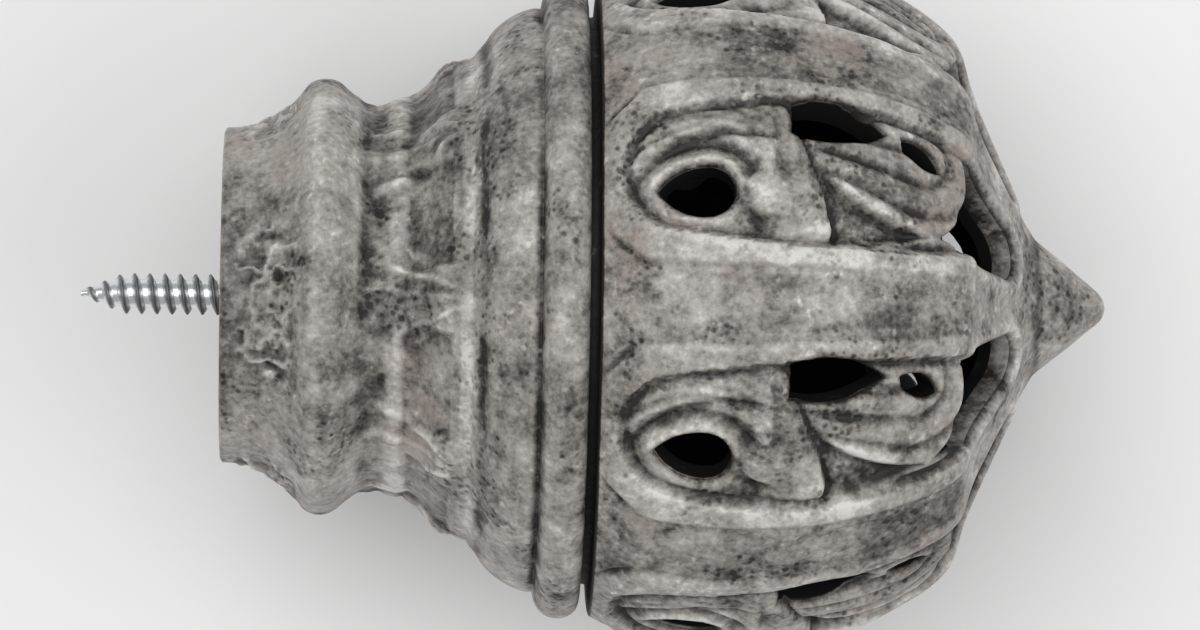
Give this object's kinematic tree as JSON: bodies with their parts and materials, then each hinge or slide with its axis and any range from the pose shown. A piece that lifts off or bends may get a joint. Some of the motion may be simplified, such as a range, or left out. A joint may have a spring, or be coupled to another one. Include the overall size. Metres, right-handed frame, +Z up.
{
  "type": "curtain pole finial",
  "caption": "Turned collar with a carved neck that carries a hollow pierced ball of ribs, scroll panels and a cone nose, with a steel screw for the end of a curtain pole.",
  "frame": {"origin": "centre of the collar's flat face, where it meets the end of the pole", "axes": "+X along the pole's axis from the face to the tip, +Z up"},
  "size_m": [0.1587, 0.1088, 0.1088],
  "materials": {
    "antiqued_resin": "moulded resin, grey paint with a dark glaze in the hollows and rubbed light ridges",
    "screw_steel": "bright zinc plate"
  },
  "bodies": {
    "root": {"base_collar": "antiqued_resin", "pierced_cage": "antiqued_resin", "pole_screw": "screw_steel"}
  },
  "joints": []
}
